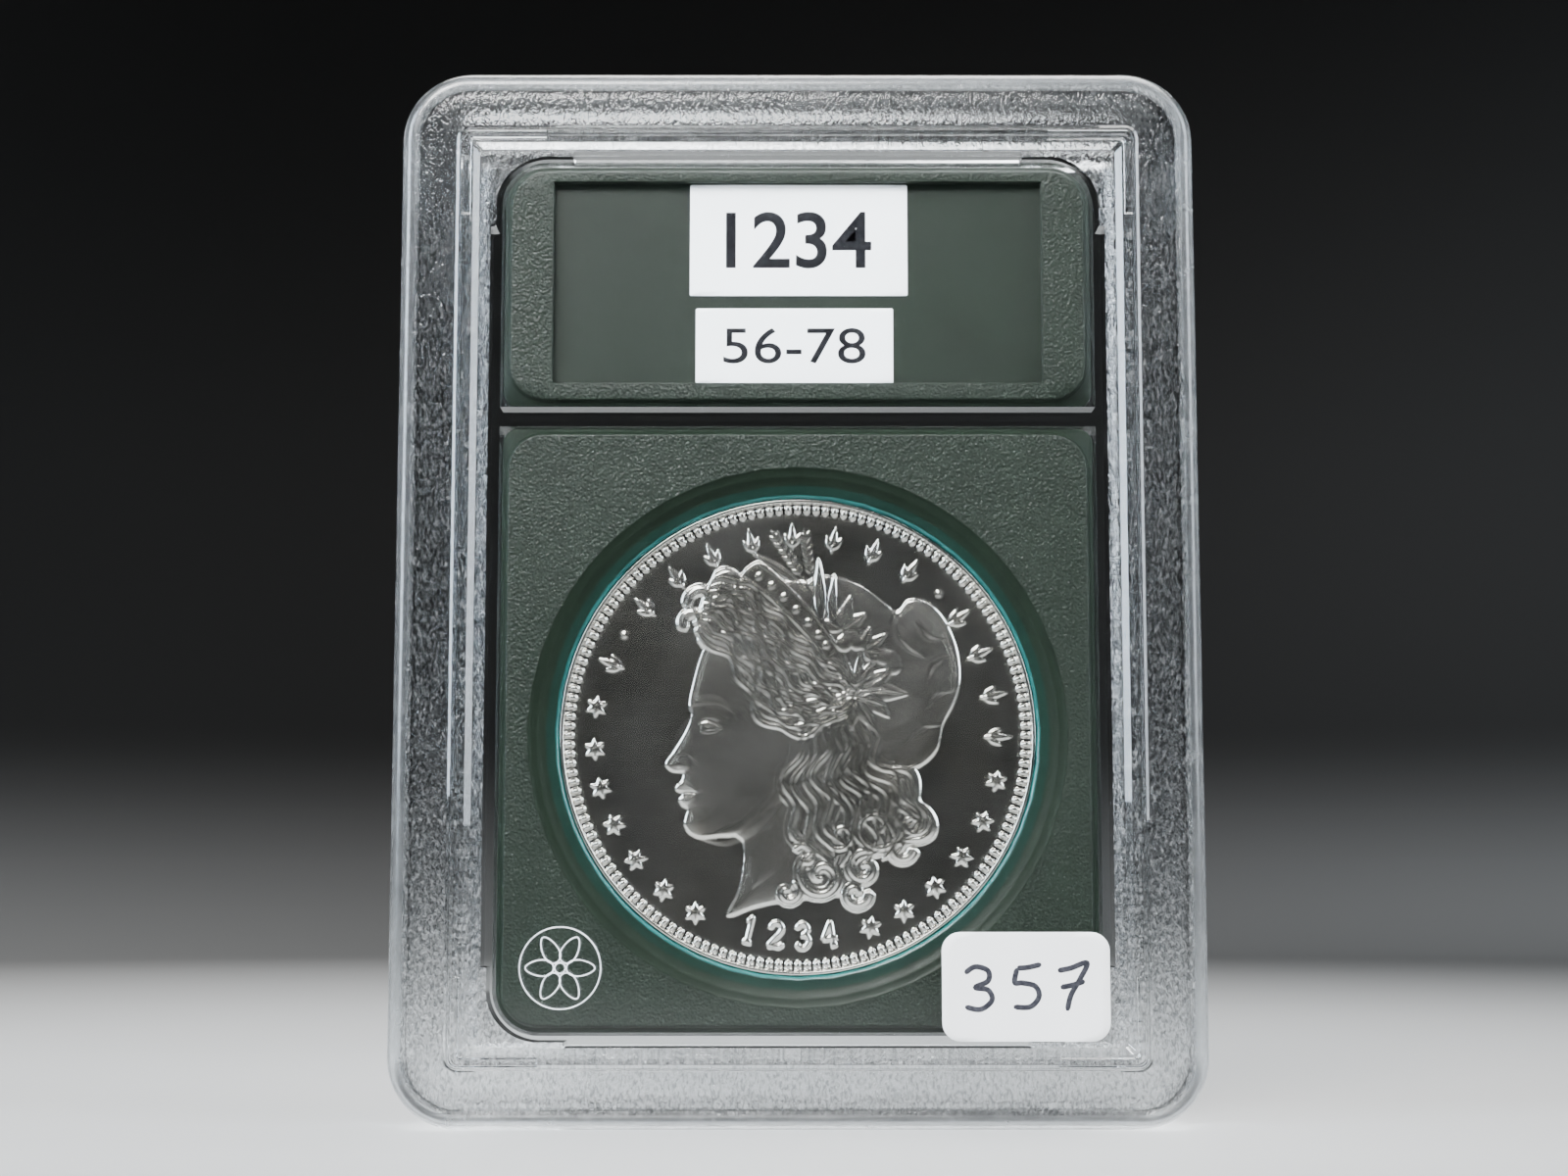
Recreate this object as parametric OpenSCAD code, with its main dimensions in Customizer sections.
// Coin slab: a clear two-part holder that snaps round a label insert, a coin insert and a coin.
// It stands on its bottom edge. +Z is up, the front faces -Y, and the origin is at the centre
// of the bottom edge. Every module below is drawn lying down, with x across, y up the slab and
// z towards the front from the parting plane, and stand() turns it upright.

/* [Slab] */
// Width of the closed slab
slab_w = 64.4; // [62:0.1:70]
// Height of the closed slab
slab_h = 84.9; // [84:0.1:90]
// Outer corner radius
corner_r = 5.6; // [5.4:0.1:7]
// Depth of one half, from the parting plane to its rim face
half_depth = 4.1; // [4:0.1:4.6]
// Thickness of the windows and of the rim's top
plate = 1.2; // [1:0.05:1.3]
// Thickness of the outer side wall
side_wall = 1.4; // [1.2:0.1:1.6]

/* [Rim] */
// Radius of the rounded shoulder round the rim
shoulder_r = 1.2; // [0.8:0.1:1.4]
// Distance from the outer edge to the rim's inner step
rim_inset = 4.75; // [4.6:0.05:4.9]
// Distance from the outer edge to the window
window_inset = 6.3; // [6.2:0.05:6.4]
// Drop from the rim face to the ledge
ledge_drop = 0.5; // [0.4:0.05:0.6]
// Drop from the rim face to the window
window_drop = 0.9; // [0.8:0.05:1]

/* [Stacking] */
// Length of each arm of a corner lug
lug_arm = 6.9; // [5:0.1:8]
// Width of the lugs and of the stacking bars
lug_w = 0.75; // [0.5:0.05:0.8]
// Height of the lugs above the ledge
lug_h = 0.4; // [0.2:0.05:0.5]
// Height of the stacking bars above the back rim
bar_h = 0.4; // [0.3:0.05:0.45]

/* [Pocket] */
// Inner width of the pocket
pocket_w = 48.2; // [48:0.1:48.6]
// Height of the pocket's lower wall above the bottom edge
pocket_low = 7.2; // [7:0.1:7.3]
// Height of the pocket's upper wall above the bottom edge
pocket_high = 77.7; // [77.6:0.1:77.9]
// Inner corner radius of the pocket
pocket_r = 3.6; // [3.2:0.1:4]
// Thickness of the pocket's wall at its corners
pocket_wall = 0.5; // [0.4:0.05:0.6]
// Height of the cross rib's lower face
rib_low = 55.8; // [55.6:0.1:56]
// Height of the cross rib's upper face
rib_high = 57.4; // [57.2:0.1:57.5]

/* [Inserts] */
// Corner radius of the raised panels
panel_r = 3.1; // [2.6:0.1:3.3]
// Rise of the raised panels above their base
panel_rise = 0.5; // [0.3:0.05:0.6]
// Width of the label recess
recess_w = 39.8; // [36:0.1:41]
// Height of the label recess
recess_h = 16.7; // [16:0.1:17]
// Depth of the label recess
recess_depth = 0.8; // [0.5:0.05:1]

/* [Coin] */
// Coin diameter
coin_d = 38.1; // [37.5:0.1:38.5]
// Coin thickness over its rims
coin_t = 2.4; // [2:0.1:2.5]
// Height of the coin's centre above the bottom edge
coin_y = 30.9; // [30.5:0.1:31.3]
// Width of the coin's raised rim
coin_rim = 1.0; // [0.6:0.1:1.4]

/* [Labels] */
// Width and height of the upper label
year_size = [17.8, 9.3];
// Width and height of the lower label
grade_size = [16.1, 6.2];
// Width and height of the price sticker
sticker_size = [13.2, 8.5];
// Thickness of the labels and the sticker
paper_t = 0.12; // [0.08:0.01:0.2]

/* [Hidden] */
$fn = 64;
EPS = 0.05;                   // overlap that fuses two solids of one piece
PARTING_GAP = 0.02;           // each half stands this far off the parting plane
FIT = 0.06;                   // sliding clearance on each side
MIN_R = 0.4;                  // least corner radius of an inset outline

parting_z = bar_h / 2;        // centres the slab's whole depth on the origin
window_z = half_depth - window_drop;
cavity_z = window_z - plate;  // half the depth of the cavity between the windows
ledge_z = half_depth - ledge_drop;
insert_z = cavity_z - 0.05;   // half the thickness of the inserts

tongue_inset = 0.75;          // outer face of the front half's tongue
tongue_h = 0.9;

notch_len = 5.6;              // finger notches in the side walls
notch_deep = 0.35;
notch_tall = 0.9;
notch_ends = 9.5;             // height of a notch's centre from the nearer end

guide_x = 18.4;               // the pocket's straight walls are thicker up to here
guide_low = 12.4;
guide_high = 72.3;
guide_w = 0.45;

INSERT_GAP = 0.2;             // clearance of the inserts inside the pocket
insert_half_w = pocket_w / 2 - INSERT_GAP;
RIB_GAP = 0.1;                // clearance between the inserts and the rib
panel_margin = 0.3;           // the base shows this far round the raised panel
rib_corner_r = 1.2;           // the base's corners beside the rib
lip_r = coin_d / 2 - 0.4;     // the seat behind the coin
coin_bore_r = coin_d / 2 + 0.08;
bevel_r = 21.5;               // the smooth dished ring round the coin
bevel_foot_r = coin_d / 2 + 0.55;
lip_t = 0.35;

recess_floor_z = insert_z - recess_depth;
recess_low = 59.4;
year_low = 66.75;
year_x = 0.1;
grade_low = 59.5;
grade_x = -0.25;
sticker_mid = [17.9, 11.05];
sticker_r = 1.45;

emblem_mid = [-18.7, 12.5];   // a plain six-petal rosette moulded in the window
emblem_r = 3.25;
emblem_rise = 0.12;

field_drop = 0.28;            // depth of the coin's field below its rim
star_r = 0.95;
star_ring_r = 15.9;
star_rise = 0.16;

// Turns a piece upright, with its front towards -Y.
module stand() {
    translate([0, -parting_z, 0]) rotate([90, 0, 0]) children();
}

// A rounded rectangle centred on x, standing on y = low.
module plaque(w, h, r, low = 0) {
    for (x = [-1, 1], y = [-1, 1])
        translate([x * (w / 2 - r), low + h / 2 + y * (h / 2 - r)]) circle(r = r);
    translate([-w / 2, low + r]) square([w, h - 2 * r]);
    translate([-w / 2 + r, low]) square([w - 2 * r, h]);
}

// The slab's outline, moved inwards.
module outline(inset) {
    plaque(slab_w - 2 * inset, slab_h - 2 * inset, max(corner_r - inset, MIN_R), inset);
}

// The pocket's outline, moved outwards.
module pocket_outline(out = 0) {
    plaque(pocket_w + 2 * out, pocket_high - pocket_low + 2 * out, pocket_r + out, pocket_low - out);
}

// Section through the outer edge of one half, from the corner's centre outwards.
module edge_section() {
    translate([0, PARTING_GAP]) square([corner_r, half_depth - shoulder_r - PARTING_GAP]);
    square_top = half_depth - shoulder_r - EPS;
    translate([0, square_top]) square([corner_r - shoulder_r, half_depth - square_top]);
    translate([corner_r - shoulder_r, half_depth - shoulder_r]) circle(r = shoulder_r);
}

// One half's outer block, with a rounded shoulder round its rim.
module half_block() {
    cx = slab_w / 2 - corner_r;
    cy = slab_h / 2 - corner_r;
    translate([0, slab_h / 2, 0]) {
        translate([-cx, -cy, PARTING_GAP]) cube([2 * cx, 2 * cy, half_depth - PARTING_GAP]);
        for (x = [-1, 1], y = [-1, 1]) translate([x * cx, y * cy, 0]) rotate_extrude() edge_section();
        for (side = [0 : 3]) {
            out = side % 2 == 0 ? cx : cy;
            run = side % 2 == 0 ? cy : cx;
            rotate(90 * side) translate([out, run, 0]) rotate([90, 0, 0])
                linear_extrude(2 * run) edge_section();
        }
    }
}

// A thin wall round the pocket, thicker along its straight stretches.
module pocket_ring() {
    difference() {
        union() {
            pocket_outline(pocket_wall);
            translate([-guide_x, pocket_low - pocket_wall - guide_w])
                square([2 * guide_x, pocket_high - pocket_low + 2 * (pocket_wall + guide_w)]);
            translate([-pocket_w / 2 - pocket_wall - guide_w, guide_low])
                square([pocket_w + 2 * (pocket_wall + guide_w), guide_high - guide_low]);
        }
        pocket_outline();
    }
}

// Finger notches in both side walls, at the parting plane.
module notches() {
    for (x = [-1, 1], y = [notch_ends, slab_h - notch_ends])
        translate([x * slab_w / 2, y, 0])
            cube([2 * notch_deep, notch_len, 2 * notch_tall], center = true);
}

// What both halves share: a stepped tray with a hollow rim, the pocket's wall and the cross rib.
module half_shell() {
    difference() {
        half_block();
        translate([0, 0, ledge_z]) linear_extrude(half_depth) outline(rim_inset);
        translate([0, 0, window_z]) linear_extrude(half_depth) outline(window_inset);
        translate([0, 0, -1]) linear_extrude(1 + half_depth - plate)
            difference() {
                outline(side_wall);
                outline(rim_inset + 0.25);
            }
        translate([0, 0, -1]) linear_extrude(1 + cavity_z) outline(rim_inset + 0.2);
    }
    translate([0, 0, PARTING_GAP]) linear_extrude(cavity_z - PARTING_GAP + EPS) pocket_ring();
    translate([-pocket_w / 2 - EPS, rib_low, PARTING_GAP])
        cube([pocket_w + 2 * EPS, rib_high - rib_low, cavity_z - PARTING_GAP + EPS]);
}

// A straight stretch of the stacking band along one side of the window.
module band_strip(inset, from, to, side) {
    half = side == "x" ? slab_w / 2 - inset : slab_h / 2 - inset;
    for (s = [-1, 1])
        if (side == "x")
            translate([s * (half - lug_w / 2) - lug_w / 2, from]) square([lug_w, to - from]);
        else
            translate([from, slab_h / 2 + s * (half - lug_w / 2) - lug_w / 2]) square([to - from, lug_w]);
}

// L-shaped lugs on the ledge, one in each corner.
module corner_lugs() {
    inset = rim_inset + 0.12;
    for (mx = [0, 1], my = [0, 1])
        translate([0, my * slab_h, 0]) mirror([0, my, 0]) mirror([mx, 0, 0])
            translate([-slab_w / 2 + inset, inset, ledge_z - EPS])
                linear_extrude(lug_h + EPS) {
                    square([lug_arm, lug_w]);
                    square([lug_w, lug_arm]);
                }
}

// Bars round the back window that nest between the lugs of the next slab in a stack.
module stacking_bars() {
    inset = rim_inset + 0.12;
    end = inset + lug_arm + 1;
    translate([0, 0, ledge_z - EPS]) linear_extrude(ledge_drop + bar_h + EPS) {
        band_strip(inset, end, slab_h - end, "x");
        band_strip(inset, -slab_w / 2 + end, slab_w / 2 - end, "y");
    }
}

module rosette() {
    petals = 6;
    petal_r = emblem_r * 0.78;
    line_w = 0.28;
    translate([emblem_mid.x, emblem_mid.y, window_z - EPS]) linear_extrude(emblem_rise + EPS) {
        difference() {
            circle(r = emblem_r);
            circle(r = emblem_r - line_w);
        }
        for (i = [0 : petals - 1])
            rotate(i * 360 / petals) translate([emblem_r * 0.45, 0])
                intersection() {
                    translate([0, -petal_r * 0.8]) circle(r = petal_r);
                    translate([0, petal_r * 0.8]) circle(r = petal_r);
                }
    }
}

module front_shell() {
    color([0.86, 0.9, 0.93, 0.4]) stand() difference() {
        union() {
            half_shell();
            corner_lugs();
            rosette();
            translate([0, 0, -tongue_h]) linear_extrude(tongue_h + 2 * EPS)
                difference() {
                    outline(tongue_inset + FIT);
                    outline(side_wall);
                }
        }
        notches();
    }
}

module back_shell() {
    color([0.84, 0.88, 0.92, 0.4]) stand() mirror([0, 0, 1]) difference() {
        union() {
            half_shell();
            stacking_bars();
        }
        translate([0, 0, -EPS]) linear_extrude(EPS + tongue_h + FIT)
            difference() {
                outline(tongue_inset);
                outline(side_wall + FIT);
            }
        notches();
    }
}

// An insert's base, with one radius at its lower corners and another at its upper ones.
module insert_outline(low, high, r_low, r_high) {
    overlap = 2 * max(r_low, r_high);
    middle = (low + high) / 2;
    plaque(2 * insert_half_w, middle - low + overlap / 2, r_low, low);
    plaque(2 * insert_half_w, high - middle + overlap / 2, r_high, middle - overlap / 2);
}

// The base with a raised panel on its front and back.
module insert_block(low, high, r_low, r_high) {
    panel_w = 2 * (insert_half_w - panel_margin);
    translate([0, 0, -insert_z + panel_rise]) linear_extrude(2 * (insert_z - panel_rise))
        insert_outline(low, high, r_low, r_high);
    translate([0, 0, -insert_z]) linear_extrude(2 * insert_z)
        plaque(panel_w, high - low - 2 * panel_margin, panel_r, low + panel_margin);
}

module label_insert() {
    color([0.16, 0.21, 0.18]) stand() difference() {
        insert_block(rib_high + RIB_GAP, pocket_high - INSERT_GAP, rib_corner_r, pocket_r - INSERT_GAP);
        for (z = [recess_floor_z, -insert_z - 1])
            translate([-recess_w / 2, recess_low, z]) cube([recess_w, recess_h, recess_depth + 1]);
    }
}

module coin_insert() {
    bevel_h = insert_z - coin_t / 2 - 0.05;
    color([0.15, 0.2, 0.17]) stand() difference() {
        insert_block(pocket_low + INSERT_GAP, rib_low - RIB_GAP, pocket_r - INSERT_GAP, rib_corner_r);
        translate([0, coin_y, 0]) {
            translate([0, 0, -insert_z - 1]) cylinder(r = lip_r, h = 2 * insert_z + 2);
            translate([0, 0, -coin_t / 2 - 0.05]) cylinder(r = coin_bore_r, h = 2 * insert_z);
            translate([0, 0, insert_z - bevel_h])
                cylinder(r1 = bevel_foot_r, r2 = bevel_r, h = bevel_h + 0.0001);
            translate([0, 0, -insert_z - 0.0001])
                cylinder(r1 = bevel_r, r2 = bevel_foot_r, h = bevel_h - lip_t);
        }
    }
}

module star(r) {
    points = 6;
    polygon([for (i = [0 : 2 * points - 1])
        let (a = 180 * i / points + 90, q = i % 2 == 0 ? r : r * 0.5) [q * cos(a), q * sin(a)]]);
}

module coin() {
    stars_left = [for (i = [0 : 6]) 174 + i * 11.2];
    stars_right = [for (i = [0 : 5]) 304 + i * 11.2];
    color([0.75, 0.75, 0.76]) stand() translate([0, coin_y, 0]) {
        difference() {
            translate([0, 0, -coin_t / 2]) cylinder(d = coin_d, h = coin_t);
            for (z = [coin_t / 2 - field_drop, -coin_t / 2 - 1])
                translate([0, 0, z]) cylinder(d = coin_d - 2 * coin_rim, h = 1 + field_drop);
        }
        for (a = concat(stars_left, stars_right))
            rotate(a) translate([star_ring_r, 0, coin_t / 2 - field_drop - EPS])
                rotate(-90) linear_extrude(star_rise + EPS) star(star_r);
    }
}

module paper(size, mid_x, low, z, r = 0.15) {
    stand() translate([mid_x, 0, z]) linear_extrude(paper_t) plaque(size.x, size.y, r, low);
}

module year_label() {
    color([0.95, 0.96, 0.96]) paper(year_size, year_x, year_low, recess_floor_z);
}

module grade_label() {
    color([0.95, 0.96, 0.96]) paper(grade_size, grade_x, grade_low, recess_floor_z);
}

module price_sticker() {
    color([0.93, 0.92, 0.91])
        paper(sticker_size, sticker_mid.x, sticker_mid.y - sticker_size.y / 2, window_z, sticker_r);
}

front_shell();
back_shell();
label_insert();
coin_insert();
coin();
year_label();
grade_label();
price_sticker();
